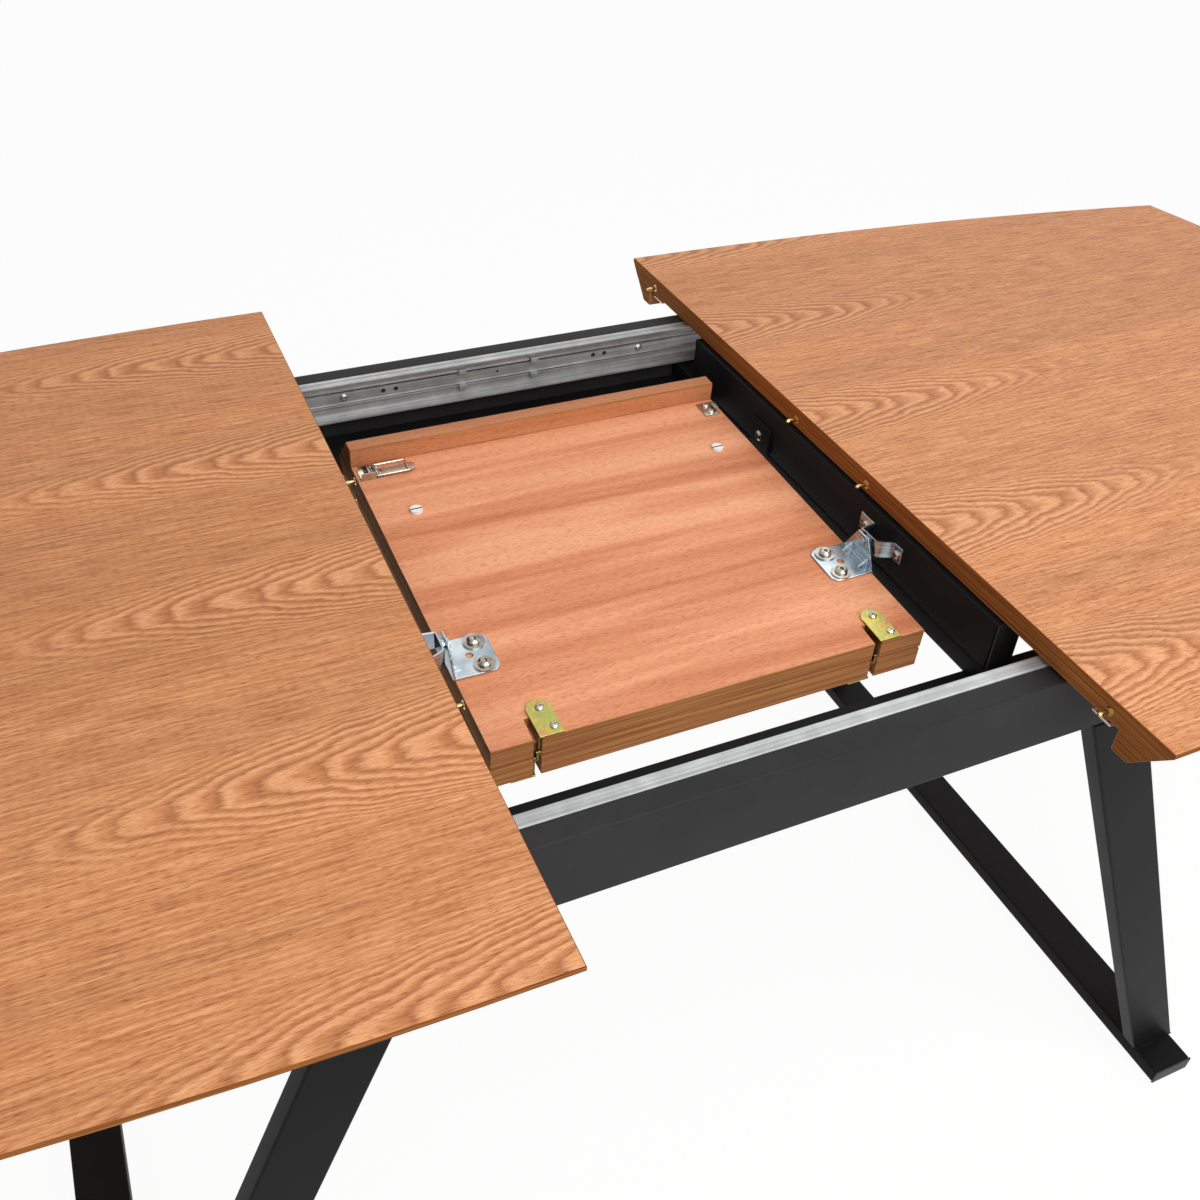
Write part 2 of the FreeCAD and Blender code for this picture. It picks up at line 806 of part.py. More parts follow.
def pivot_bracket():
    """The right-hand angle under the front half: a bolted foot and a tapered ear with a bore."""
    x1 = leaf_edge + bracket_proud
    x0 = x1 - bracket_sheet - bracket_length
    half = bracket_width / 2
    corners = [(x1, -half), (x1, half), (x0 + bracket_corner, half), (x0, half - bracket_corner),
               (x0, bracket_corner - half), (x0 + bracket_corner, -half)]
    foot = plate([Vector(x, y - pivot_y, under_z) for x, y in corners], -Z_AXIS * bracket_sheet)
    ear_low = under_z - ear_height
    foot_low = under_z - bracket_sheet
    tip = ear_top_width / 2
    taper = [(-pivot_y - half, under_z), (-pivot_y + half, under_z), (-pivot_y + half, foot_low),
             (-pivot_y + tip, ear_low), (-pivot_y - tip, ear_low), (-pivot_y - half, foot_low)]
    ear = profile_x(taper, x1 - bracket_sheet, x1)
    gussets = []
    for side in (-gusset_spacing / 2, gusset_spacing / 2):
        y = -pivot_y + side - bracket_sheet / 2
        corner = [Vector(x1 - bracket_sheet, y, foot_low),
                  Vector(x1 - bracket_sheet - gusset_size, y, foot_low),
                  Vector(x1 - bracket_sheet, y, foot_low - gusset_size)]
        gussets.append(plate(corner, Y_AXIS * bracket_sheet))
    bore = rod(Vector(x1 - bracket_sheet - overrun, -pivot_y, pivot_z),
               Vector(x1 + overrun, -pivot_y, pivot_z), pivot_rivet_radius + running_clearance)
    spare = Vector(leaf_edge - bracket_hole_inset, -pivot_y, foot_low - overrun)
    spare_hole = rod(spare, spare.add(Z_AXIS * (bracket_sheet + overrun)), bracket_hole_radius)
    bolts = [pilot(seat, Z_AXIS, bolt_shank, bolt_length) for seat in bracket_bolt_seats()]
    return joined([foot, ear] + gussets).cut([bore, spare_hole] + bolts)


def bracket_bolt_seats():
    """Seats of the right-hand bracket's bolts, on their washers."""
    z = under_z - bracket_sheet - washer_thickness
    return [Vector(leaf_edge - bracket_bolt_inset, -pivot_y + side, z)
            for side in (-bracket_bolt_spacing / 2, bracket_bolt_spacing / 2)]


def bracket_bolt(seat):
    low = seat.z - bolt_head_height - overrun
    corners = [Vector(bolt_socket_radius * math.cos(turn), bolt_socket_radius * math.sin(turn), 0)
               for turn in hex_turns]
    corners = [corner.add(Vector(seat.x, seat.y, low)) for corner in corners]
    socket = plate(corners, Z_AXIS * (bolt_socket_depth + overrun))
    return crowned(seat, Z_AXIS, bolt_head, bolt_head_height, bolt_shank, bolt_length).cut(socket)


def bracket_washer(seat):
    ring = rod(seat, seat.add(Z_AXIS * washer_thickness), washer_radius)
    return ring.cut(pilot(seat, Z_AXIS, bolt_shank, bolt_length))


def stored_front(shape):
    return turned_x(shape, -pivot_y, pivot_z, -turn_over_angle)


def stored_link(shape):
    return stored_front(turned_x(shape, -fold_y, fold_z, fold_angle))


def stored_back(shape):
    return stored_link(turned_x(shape, fold_y, fold_z, fold_angle))


def make_leaf_half(half, store, y_side, hinges, bolts):
    """One half of the leaf: y_side is -1 for the front half and 1 for the back half."""
    pins = [y_side * pin_inner_y, y_side * pin_outer_y]
    y = y_side * latch_y
    buttons = [button(x, y_side * button_y) for x in (-button_x, button_x)]
    seats = [latch_screw(-leaf_edge, y)] + keeper_screws(leaf_edge, y)
    for index, side in hinges:
        for hinge_x in (hinge_x_left, hinge_x_right):
            seats += [(x, -y_side * depth, z) for x, depth, z in hinge_screws(hinge_x, index, side)]
    tools = [pin_seat(-leaf_edge, pin) for pin in pins] + [pin_socket(leaf_edge, pin) for pin in pins]
    tools += [wood_pilot(*seat) for seat in seats]
    tools += [pilot(seat, Z_AXIS, bolt_shank, bolt_length) for seat in bolts]
    board = leaf_panel().cut([hinge_slot(hinge_x_left), hinge_slot(hinge_x_right)])
    lip = leaf_lip()
    plates = [hinge_plate(hinge_x, index, side) for index, side in hinges
              for hinge_x in (hinge_x_left, hinge_x_right)]
    if y_side > 0:
        board, lip = mirrored_y(board), mirrored_y(lip)
        plates = [mirrored_y(piece) for piece in plates]
    nodes = {"board": [board.cut(tools)], "lip": [lip], "hinge_plates": plates, "buttons": buttons,
             "pins": [location_pin(-leaf_edge, pin) for pin in pins],
             "screws": [wood_screw(*seat) for seat in seats], "keeper": [keeper(leaf_edge, y)],
             "latch_base": [latch_base(-leaf_edge, y)], "latch_lever": [latch_lever(-leaf_edge, y)],
             "latch_bail": [latch_bail(-leaf_edge, y, False)]}
    for name, pieces in nodes.items():
        add(half + "_" + name, *[store(piece) for piece in pieces])


def make_leaf():
    seats = bracket_bolt_seats()
    seats += [Vector(-seat.x, seat.y, seat.z) for seat in seats]
    make_leaf_half("leaf_front", stored_front, -1, [(0, 1)], seats)
    make_leaf_half("leaf_back", stored_back, 1, [(2, -1)], [])
    hinges = (hinge_x_left, hinge_x_right)
    add("fold_links", *[stored_link(hinge_link(x)) for x in hinges])
    add("fold_links", *[stored_link(rivet) for x in hinges for rivet in hinge_rivets(x)])
    add("pivot_brackets", *[stored_front(piece) for piece in both_ends(pivot_bracket())])
    add("pivot_bolts", *[stored_front(bracket_bolt(seat)) for seat in seats])
    add("pivot_washers", *[stored_front(bracket_washer(seat)) for seat in seats])


# Frame

def tube(x0, x1, y0, y1, z0, z1, wall, along):
    """A square-cornered hollow tube, open at both ends of the named axis."""
    wx, wy, wz = (0 if axis == along else wall for axis in "xyz")
    ex, ey, ez = (overrun if axis == along else 0 for axis in "xyz")
    bore = box(x0 + wx - ex, x1 - wx + ex, y0 + wy - ey, y1 - wy + ey, z0 + wz - ez, z1 - wz + ez)
    return box(x0, x1, y0, y1, z0, z1).cut(bore)


def tube_cap(x, y0, y1, z0, z1, wall):
    """A plug for the +X end of a tube."""
    room = wall + cap_clearance
    face = box(x, x + cap_wall, y0, y1, z0, z1)
    plug = box(x - cap_plug_depth, x, y0 + room, y1 - room, z0 + room, z1 - room)
    return joined([face, plug])


def tube_cap_y(y, x0, x1, z0, z1, wall):
    """A plug for the +Y end of a tube."""
    room = wall + cap_clearance
    face = box(x0, x1, y, y + cap_wall, z0, z1)
    plug = box(x0 + room, x1 - room, y - cap_plug_depth, y, z0 + room, z1 - room)
    return joined([face, plug])


def hat_curve(web_x, half):
    """The swept front leg of the hat: (x, y) points of its two faces, from the ear to the web."""
    depth = crossbar_x - web_x - hat_sheet
    faces = [], []
    for step in range(curve_steps + 1):
        turn = math.pi * step / curve_steps
        x = crossbar_x - depth * (1 - math.cos(turn)) / 2
        y = -half - hat_curve_run * (1 - step / curve_steps)
        tilt = math.atan2(depth * math.pi * math.sin(turn) / 2, hat_curve_run)
        faces[0].append((x, y))
        faces[1].append((x - hat_sheet * math.cos(tilt), y - hat_sheet * math.sin(tilt)))
    return faces


def hat_bracket():
    """The bent strip on the right cross bar that holds the pivot rivet."""
    z1 = pivot_z + hat_above_pivot
    z0 = z1 - hat_height
    web_x = leaf_edge + bracket_proud + hat_gap
    half = hat_web_width / 2
    foot = half + hat_ear_width
    far_face, near_face = hat_curve(web_x, half)
    outer = [(crossbar_x, -foot)] + far_face
    outer += [(web_x + hat_sheet, half - hat_sheet), (crossbar_x, half), (crossbar_x, foot)]
    inner = [(crossbar_x - hat_sheet, foot), (crossbar_x - hat_sheet, half + hat_sheet), (web_x, half)]
    inner += near_face[::-1] + [(crossbar_x - hat_sheet, -foot)]
    strip = plate([Vector(x, y - pivot_y, z0) for x, y in outer + inner], Z_AXIS * hat_height)
    bore = rod(Vector(web_x - overrun, -pivot_y, pivot_z), Vector(web_x + overrun, -pivot_y, pivot_z),
               pivot_rivet_radius)
    return strip.cut([bore] + [pilot(*seat) for seat in hat_screw_seats()])


def hat_screw_seats():
    z = pivot_z + hat_above_pivot - hat_height / 2
    foot = hat_web_width / 2 + hat_ear_width
    seats = [Vector(crossbar_x - hat_sheet, -pivot_y + side, z)
             for side in (hat_front_screw_inset - foot, foot - hat_screw_inset)]
    return [(seat, X_AXIS, frame_screw_shank, frame_screw_length) for seat in seats]


def pivot_rivet():
    ear_x = leaf_edge + bracket_proud - bracket_sheet
    web_x = leaf_edge + bracket_proud + hat_gap
    tail = web_x + hat_sheet
    head = ear_x - pivot_head_height
    washer_x = leaf_edge + bracket_proud + slide_clearance

    def at(x):
        return Vector(x, -pivot_y, pivot_z)

    return joined([rod(at(ear_x - slide_clearance), at(tail), pivot_rivet_radius),
                   rod(at(head - slide_clearance), at(ear_x - slide_clearance), pivot_head_radius),
                   rod(at(washer_x), at(web_x), pivot_head_radius)])


def crossbar_plate_seat():
    return Vector(crossbar_x - plate_sheet, plate_y, table_height - plate_drop)


def make_crossbars():
    x1 = crossbar_x + crossbar_width
    bar_top = base_top + crossbar_height
    bar = tube(crossbar_x, x1, -crossbar_half_length, crossbar_half_length, base_top, bar_top,
               tube_wall, "y")
    tools = [pilot(*seat) for seat in hat_screw_seats()]
    tools.append(pilot(crossbar_plate_seat(), X_AXIS, bolt_shank, frame_screw_length))
    bar = bar.cut(tools)
    base = tube(crossbar_x, x1, -rail_inner_y, rail_inner_y, base_top - crossbar_base_height, base_top,
                tube_wall, "y")
    add("crossbars", *both_ends(bar))
    add("crossbar_bases", *both_ends(base))
    seat = crossbar_plate_seat()
    sheet = box(seat.x, crossbar_x, plate_y - plate_width / 2, plate_y + plate_width / 2,
                seat.z - plate_height / 2, seat.z + plate_height / 2)
    sheet = sheet.cut(pilot(seat, X_AXIS, bolt_shank, frame_screw_length))
    add("crossbar_plates", *both_ends(sheet))
    bolt = screw(seat, X_AXIS, bolt_head, bolt_head_height, bolt_shank, frame_screw_length)
    add("frame_screws", *both_ends(bolt))
    hat_screws = [screw(place, inward, frame_screw_head, frame_screw_head_height, shank, length)
                  for place, inward, shank, length in hat_screw_seats()]
    add("frame_screws", *[piece for one in hat_screws for piece in both_ends(one)])
    add("pivot_hats", *both_ends(hat_bracket()))
    add("pivot_rivets", *both_ends(pivot_rivet()))
    cap = tube_cap_y(crossbar_half_length, crossbar_x, x1, base_top, bar_top, tube_wall)
    add("tube_caps", *[piece for one in both_ends(cap) for piece in both_sides(one)])


def make_rails():
    middle_z = slide_low + slide_height / 2
    web_y = rail_inner_y - slide_sheet
    rail = tube(-rail_half_length, rail_half_length, rail_inner_y, rail_y, rail_bottom, rail_top,
                rail_wall, "x")
    seats = [Vector(x, web_y, middle_z) for x in slide_screw_places()]
    rail = rail.cut([pilot(seat, Y_AXIS, frame_screw_shank, frame_screw_length) for seat in seats])
    add("back_rail", rail)
    add("front_rail", mirrored_y(rail))
    ledge = box(-rail_half_length, rail_half_length, ledge_inner_y, rail_inner_y,
                rail_bottom, rail_bottom + ledge_sheet)
    add("rail_ledges", *both_sides(ledge))
    screws = [screw(seat, Y_AXIS, frame_screw_head, frame_screw_head_height, frame_screw_shank,
                    frame_screw_length) for seat in seats]
    add("frame_screws", *[piece for one in screws for piece in both_sides(one)])
    cap = tube_cap(rail_half_length, rail_inner_y, rail_y, rail_bottom, rail_top, rail_wall)
    add("tube_caps", *[piece for one in both_ends(cap) for piece in both_sides(one)])


def leg_post(shrink, low, high):
    """A splayed tube cut level at both ends: a level rectangle run along the slant."""
    rise = rail_bottom - runner_top
    lean_x = (post_foot_x - post_top_x) / rise
    lean_y = (post_foot_y - rail_y) / rise
    half = post_width / 2 * math.hypot(1, lean_x) - shrink
    x = post_foot_x - lean_x * (low - runner_top)
    y1 = post_foot_y - lean_y * (low - runner_top) - shrink
    y0 = y1 - rail_thickness + 2 * shrink
    foot = [Vector(x - half, y0, low), Vector(x + half, y0, low),
            Vector(x + half, y1, low), Vector(x - half, y1, low)]
    return plate(foot, Vector(-lean_x, -lean_y, 1) * (high - low))


def make_legs():
    bore = leg_post(post_wall, runner_top - overrun, rail_bottom + overrun)
    post = leg_post(0, runner_top, rail_bottom).cut(bore)
    add("right_leg_posts", *both_sides(post))
    add("left_leg_posts", *both_sides(mirrored_x(post)))
    x0, x1 = post_foot_x - runner_width / 2, post_foot_x + runner_width / 2
    reach = post_foot_y + runner_overhang
    runner = tube(x0, x1, -reach, reach, pad_height, runner_top, tube_wall, "y")
    add("right_runner", runner)
    add("left_runner", mirrored_x(runner))
    cap = tube_cap_y(reach, x0, x1, pad_height, runner_top, tube_wall)
    add("tube_caps", *[piece for one in both_ends(cap) for piece in both_sides(one)])
    pad = box(post_foot_x - pad_width / 2, post_foot_x + pad_width / 2, reach - pad_inset - pad_length,
              reach - pad_inset, 0, pad_height)
    add("floor_pads", *[piece for one in both_ends(pad) for piece in both_sides(one)])


def print_axes():
    """Joint places in millimetres, for reading against the model."""
    marks = {"turn over": Vector(0, -pivot_y, pivot_z),
             "fold front": stored_front(Part.Vertex(0, -fold_y, fold_z)).Point,
             "fold back": stored_link(Part.Vertex(0, fold_y, fold_z)).Point}
    for half, store, edge_x, y in (("leaf front", stored_front, -leaf_edge, -latch_y),
                                   ("leaf back", stored_back, -leaf_edge, latch_y),
                                   ("top front", Part.Shape.copy, opening + top_latch_setback, -latch_y),
                                   ("top back", Part.Shape.copy, opening + top_latch_setback, latch_y)):
        x = edge_x + latch_pivot_inset
        z = under_z - latch_pivot_drop
        marks[half + " lever"] = store(Part.Vertex(x, y, z)).Point
        marks[half + " bail"] = store(Part.Vertex(x + bail_crank, y, z)).Point
    for name, point in marks.items():
        print(name, [round(value, 4) for value in point])


make_tops()
make_slides()
make_leaf()
make_crossbars()
make_rails()
make_legs()
print_axes()
export_nodes()
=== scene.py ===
import json
import math

import bmesh
import bpy
from mathutils import Matrix, Vector


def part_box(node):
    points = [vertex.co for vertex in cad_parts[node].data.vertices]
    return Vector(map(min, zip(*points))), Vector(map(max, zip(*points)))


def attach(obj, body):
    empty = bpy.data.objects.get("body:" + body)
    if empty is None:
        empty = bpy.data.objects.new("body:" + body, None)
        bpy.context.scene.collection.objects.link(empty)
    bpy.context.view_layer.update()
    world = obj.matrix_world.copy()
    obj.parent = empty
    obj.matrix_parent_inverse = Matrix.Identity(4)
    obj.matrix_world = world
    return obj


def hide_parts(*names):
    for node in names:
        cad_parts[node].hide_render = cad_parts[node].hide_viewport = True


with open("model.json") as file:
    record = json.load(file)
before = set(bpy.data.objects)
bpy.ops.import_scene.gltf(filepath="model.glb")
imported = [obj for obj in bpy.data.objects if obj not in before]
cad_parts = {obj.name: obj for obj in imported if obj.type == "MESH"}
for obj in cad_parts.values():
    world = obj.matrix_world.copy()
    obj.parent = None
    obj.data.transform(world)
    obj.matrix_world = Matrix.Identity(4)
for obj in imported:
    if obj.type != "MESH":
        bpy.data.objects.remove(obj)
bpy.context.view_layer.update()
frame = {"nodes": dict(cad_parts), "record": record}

# Extending dining table: the solids of the frame get eased edges and their finishes here.
# Lengths are in metres, with MM for sizes that a maker gives in millimetres.

MM = 0.001
RECORD = frame["record"]
BODY_OF = {node: body for body, nodes in RECORD["behaviour"]["bodies"].items() for node in nodes}
TABLE_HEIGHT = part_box("left_top_board")[1][2]


# Colours and nodes

def linear(hex_colour):
    """An sRGB hex colour as linear RGBA."""
    channels = [int(hex_colour[i:i + 2], 16) / 255 for i in (1, 3, 5)]
    return tuple(c / 12.92 if c <= 0.04045 else ((c + 0.055) / 1.055) ** 2.4 for c in channels) + (1.0,)


WHITE = linear("#ffffff")


def add_node(tree, kind, inputs=None, **settings):
    """Adds a node; inputs are values, or sockets to link, by input name or number."""
    node = tree.nodes.new(kind)
    for name, value in settings.items():
        setattr(node, name, value)
    for name, value in (inputs or {}).items():
        set_input(tree, node, name, value)
    return node


def set_input(tree, node, name, value):
    """Gives one input a value, or links a socket to it."""
    if isinstance(value, bpy.types.NodeSocket):
        tree.links.new(value, node.inputs[name])
    else:
        node.inputs[name].default_value = value


def new_material(name):
    """An empty material with its shader and Object coordinates."""
    material = bpy.data.materials.new(name)
    material.use_nodes = True
    tree = material.node_tree
    shader = tree.nodes["Principled BSDF"]
    place = add_node(tree, "ShaderNodeTexCoord").outputs["Object"]
    return material, tree, shader, place


def set_shader(tree, shader, **inputs):
    """Sets the shader's inputs, named with underscores for blanks."""
    for name, value in inputs.items():
        set_input(tree, shader, name.replace("_", " "), value)


def math_node(tree, operation, *values):
    """The result of one Math node on values or sockets."""
    return add_node(tree, "ShaderNodeMath", dict(enumerate(values)), operation=operation).outputs[0]


def noise(tree, place, scale, detail, roughness=0.5, distortion=0.0):
    """Even noise, with a scale per metre."""
    return add_node(tree, "ShaderNodeTexNoise", {
        "Vector": place, "Scale": scale, "Detail": detail, "Roughness": roughness,
        "Distortion": distortion}).outputs["Fac"]


def stretched_noise(tree, place, scale, detail=3.0, roughness=0.55, distortion=0.0):
    """Noise drawn out by a scale per metre along each axis."""
    drawn = add_node(tree, "ShaderNodeMapping", {"Vector": place, "Scale": scale}).outputs[0]
    return noise(tree, drawn, 1.0, detail, roughness, distortion)


def ramp(tree, value, stops):
    """A colour by value; stops are (position, hex colour)."""
    node = add_node(tree, "ShaderNodeValToRGB", {0: value})
    elements = node.color_ramp.elements
    while len(elements) < len(stops):
        elements.new(0.5)
    for element, (position, colour) in zip(elements, stops):
        element.position = position
        element.color = linear(colour)
    return node.outputs[0]


def spread(tree, value, low, high, start=0.0, end=1.0):
    """Maps start..end to low..high."""
    return add_node(tree, "ShaderNodeMapRange", {
        "Value": value, "From Min": start, "From Max": end, "To Min": low, "To Max": high}).outputs[0]


def blend(tree, share, first, second, kind="MIX"):
    """Two colours mixed by a share."""
    return add_node(tree, "ShaderNodeMix", {0: share, 6: first, 7: second},
                    data_type="RGBA", blend_type=kind).outputs[2]


def scaled(tree, colour, factor):
    """A colour made lighter or darker by a factor."""
    return add_node(tree, "ShaderNodeVectorMath", {0: colour, "Scale": factor}, operation="SCALE").outputs[0]


def relief(tree, height, strength, depth, invert=False):
    """A fine bump of a real depth."""
    return add_node(tree, "ShaderNodeBump", {"Height": height, "Strength": strength, "Distance": depth},
                    invert=invert).outputs[0]


# Wood

def ring_figure(tree, place):
    """Growth rings of identical flat-cut leaves: arches that point away from the table's middle.

    The right half and the leaf carry the figure as it is, the left half carries it turned round.
    Returns the ring number and a place within the leaf.
    """
    leaf_width, leaf_start, left_edge = 202 * MM, 56 * MM, -213 * MM
    ring_length, ring_width, crowding, blunt = 31 * MM, 8.5 * MM, 33 * MM, 8 * MM
    wander, rounding, year_change, crowding_power = 22 * MM, 5 * MM, 1.6, 4.0
    axes = add_node(tree, "ShaderNodeSeparateXYZ", {0: place})
    turn = math_node(tree, "GREATER_THAN", axes.outputs["X"], left_edge)
    turn = math_node(tree, "MULTIPLY_ADD", turn, 2.0, -1.0)
    along = math_node(tree, "MULTIPLY", axes.outputs["X"], turn)
    across = math_node(tree, "MULTIPLY", axes.outputs["Y"], turn)
    leaves = math_node(tree, "DIVIDE", math_node(tree, "ADD", across, leaf_start), leaf_width)
    offset = math_node(tree, "MULTIPLY_ADD", math_node(tree, "FRACT", leaves), leaf_width, -leaf_width / 2)
    local = add_node(tree, "ShaderNodeCombineXYZ", {"X": along, "Y": offset}).outputs[0]
    bend = stretched_noise(tree, local, (4.0, 9.0, 1.0))
    middle = math_node(tree, "MULTIPLY_ADD", bend, wander, -wander / 2)
    reach = math_node(tree, "ABSOLUTE", math_node(tree, "ADD", offset, middle))
    side = math_node(tree, "SMOOTH_MAX", math_node(tree, "SUBTRACT", reach, blunt), 0.0, rounding)
    crowded = math_node(tree, "POWER", math_node(tree, "DIVIDE", side, crowding), crowding_power)
    flank = math_node(tree, "MULTIPLY_ADD", side, 1 / ring_width, crowded)
    line = add_node(tree, "ShaderNodeCombineXYZ", {"X": along}).outputs[0]
    years = math_node(tree, "MULTIPLY", stretched_noise(tree, line, (17.0, 1.0, 1.0), 1.0), year_change)
    rings = math_node(tree, "ADD", math_node(tree, "MULTIPLY_ADD", along, 1 / ring_length, years), flank)
    return rings, local


def oak_veneer(name, tones):
    """Flat-cut oak veneer under matt lacquer: arched figure, dark open pores, slow streaks of tone."""
    dark, middle, light, pore = tones
    ring_raggedness, arches_end, straight_start = 0.8, 14.0, 20.0
    material, tree, shader, place = new_material(name)
    rings, local = ring_figure(tree, place)
    ragged = stretched_noise(tree, local, (34.0, 110.0, 1.0), 4.0, 0.6)
    band = math_node(tree, "FRACT", math_node(tree, "MULTIPLY_ADD", ragged, ring_raggedness, rings))
    figure = ramp(tree, band, [(0.0, dark), (0.34, middle), (0.55, light), (0.76, light), (1.0, dark)])
    lines = stretched_noise(tree, place, (22.0, 420.0, 420.0), 4.0)
    plain = ramp(tree, lines, [(0.2, dark), (0.48, middle), (0.76, light)])
    grain = blend(tree, spread(tree, rings, 0.4, 0.94, arches_end, straight_start), figure, plain)
    pores = spread(tree, stretched_noise(tree, place, (120.0, 3000.0, 3000.0), 2.0), 0.0, 1.0, 0.52, 0.7)
    porous = blend(tree, pores, grain, linear(pore), "MULTIPLY")
    streak = spread(tree, stretched_noise(tree, place, (0.7, 16.0, 16.0)), 0.86, 1.1, 0.25, 0.75)
    set_shader(tree, shader, Base_Color=scaled(tree, porous, streak), Roughness=spread(tree, pores, 0.46, 0.64),
               Normal=relief(tree, pores, 0.2, 0.1 * MM, True), Specular_IOR_Level=0.15)
    return material


def edge_band(name, tones):
    """Wood edge banding: long fine lines level with the board, a little darker than the face."""
    dark, middle, light = tones
    material, tree, shader, place = new_material(name)
    lines = stretched_noise(tree, place, (6.0, 6.0, 950.0), 4.0, 0.65)
    colour = ramp(tree, lines, [(0.3, dark), (0.5, middle), (0.72, light)])
    patches = spread(tree, noise(tree, place, 9.0, 3.0), 0.86, 1.12)
    set_shader(tree, shader, Base_Color=scaled(tree, colour, patches), Roughness=0.65,
               Normal=relief(tree, lines, 0.2, 0.1 * MM), Specular_IOR_Level=0.06)
    return material


def okoume_veneer(name, tones):
    """Rotary-cut okoume backing veneer: soft ribbons along the length, short fine pores, thin lacquer."""
    pore = linear("#bf8a6c")
    material, tree, shader, place = new_material(name)
    ribbons = stretched_noise(tree, place, (1.3, 24.0, 24.0), 5.0, 0.62, 0.4)
    colour = ramp(tree, ribbons, list(zip((0.28, 0.44, 0.58, 0.75), tones)))
    fine = stretched_noise(tree, place, (150.0, 2600.0, 2600.0), 2.0, 0.5)
    pores = spread(tree, fine, 0.0, 1.0, 0.52, 0.75)
    set_shader(tree, shader, Base_Color=blend(tree, pores, colour, pore, "MULTIPLY"), Roughness=0.5,
               Normal=relief(tree, pores, 0.2, 0.1 * MM, True), Specular_IOR_Level=0.3)
    return material


# Metals and plastics

def powder_coat(name, tones):
    """Fine black powder coat on steel: satin, with a pebbled skin and a trace of dust."""
    pebble = 0.8 * MM
    material, tree, shader, place = new_material(name)
    grit = noise(tree, place, 1 / pebble, 2.0)
    dust = noise(tree, place, 7.0, 6.0, 0.7)
    set_shader(tree, shader, Base_Color=ramp(tree, dust, list(zip((0.3, 0.62, 0.85), tones))),
               Roughness=spread(tree, dust, 0.36, 0.56), Specular_IOR_Level=0.06,
               Normal=relief(tree, grit, 0.25, 0.08 * MM))
    return material


def rolled_zinc(name, tones, roughness, streak, metal=1.0):
    """Zinc-plated rolled steel: drawn streaks along the strip and cloudy patches in the plating."""
    streak_share, cloud_share = 0.95, 0.5
    material, tree, shader, place = new_material(name)
    streaks = stretched_noise(tree, place, streak, 3.0, 0.5)
    cloud = math_node(tree, "MULTIPLY", noise(tree, place, 38.0, 5.0, 0.65), cloud_share)
    both = math_node(tree, "MULTIPLY_ADD", streaks, streak_share, cloud)
    set_shader(tree, shader, Base_Color=ramp(tree, both, list(zip((0.45, 0.72, 0.95), tones))),
               Roughness=spread(tree, both, *roughness, 0.4, 1.0),
               Normal=relief(tree, streaks, 0.15, 0.05 * MM), Metallic=metal)
    return material


def yellow_zinc(name, tones):
    """Yellow-passivated zinc: thin-film colours that drift from rose over straw to green."""
    material, tree, shader, place = new_material(name)
    drift = stretched_noise(tree, place, (70.0, 45.0, 60.0), 3.0, 0.6)
    fine = stretched_noise(tree, place, (900.0, 300.0, 900.0), 2.0)
    set_shader(tree, shader, Base_Color=ramp(tree, drift, list(zip((0.3, 0.41, 0.5, 0.6, 0.72), tones))),
               Roughness=spread(tree, fine, 0.22, 0.42), Normal=relief(tree, fine, 0.12, 0.05 * MM),
               Metallic=1.0)
    return material


def moulded_plastic(name, colour, shade, roughness):
    """Moulded nylon: even colour with a faint cloud and an eroded tool texture."""
    erosion = 0.6 * MM
    material, tree, shader, place = new_material(name)
    cloud = noise(tree, place, 60.0, 3.0)
    grain = noise(tree, place, 1 / erosion, 1.0)
    set_shader(tree, shader, Base_Color=ramp(tree, cloud, [(0.3, shade), (0.7, colour)]), Roughness=roughness,
               Normal=relief(tree, grain, 0.12, 0.05 * MM))
    return material


OAK_FACE = oak_veneer("oak_veneer_face", ["#985a35", "#ca895a", "#e9ac7c", "#a6714d"])
OAK_EDGE = edge_band("oak_edge_band", ["#582c12", "#864f25", "#ab743f"])
# Painted light: a lighter copy of the oak edge band for the leaf's edges and lips, for the light that falls on
# the leaf's front edge.
LIT_EDGE_BAND = edge_band("lit_oak_edge_band", ["#744322", "#a56c40", "#c9925f"])
OKOUME = okoume_veneer("okoume_backing", ["#bb6f45", "#d68a60", "#eaa47a", "#f0b48c"])
LIP_WOOD = okoume_veneer("okoume_edge_lip", ["#985931", "#ae6c45", "#be7e54", "#cb9068"])
STEEL_BLACK = powder_coat("black_powder_coat", ["#141414", "#1b1a1b", "#252424"])
# Painted light: a lighter copy of the black powder coat for the rails, for the light on their upward and front
# faces.
LIT_RAIL_BLACK = powder_coat("lit_black_powder_coat", ["#2a292a", "#333233", "#3f3e3f"])
SLIDE_ZINC = rolled_zinc("rolled_zinc_slide", ["#7d7e7f", "#a3a4a4", "#c9cacb"], (0.32, 0.5),
                         (2.0, 320.0, 320.0), 0.5)
BRACKET_ZINC = rolled_zinc("blue_zinc_bracket", ["#8d98a3", "#aeb9c1", "#d3dbde"], (0.18, 0.34),
                           (30.0, 30.0, 400.0))
YELLOW_ZINC = yellow_zinc("yellow_zinc_hinge", ["#b0846a", "#bfa552", "#98a05e", "#c2aa57", "#86a08a"])
# Painted shade: a darker, browner copy of the yellow zinc for the hinge wings and fold links that stand in the
# slots.
SHADED_YELLOW_ZINC = yellow_zinc("shaded_yellow_zinc_link", ["#6e4f33", "#85693a", "#63603c", "#8a6f40", "#5f5e4b"])
BOLT_STEEL = rolled_zinc("dark_zinc_bolt", ["#77726a", "#a09b92", "#cfcac2"], (0.14, 0.3), (60.0, 60.0, 60.0))
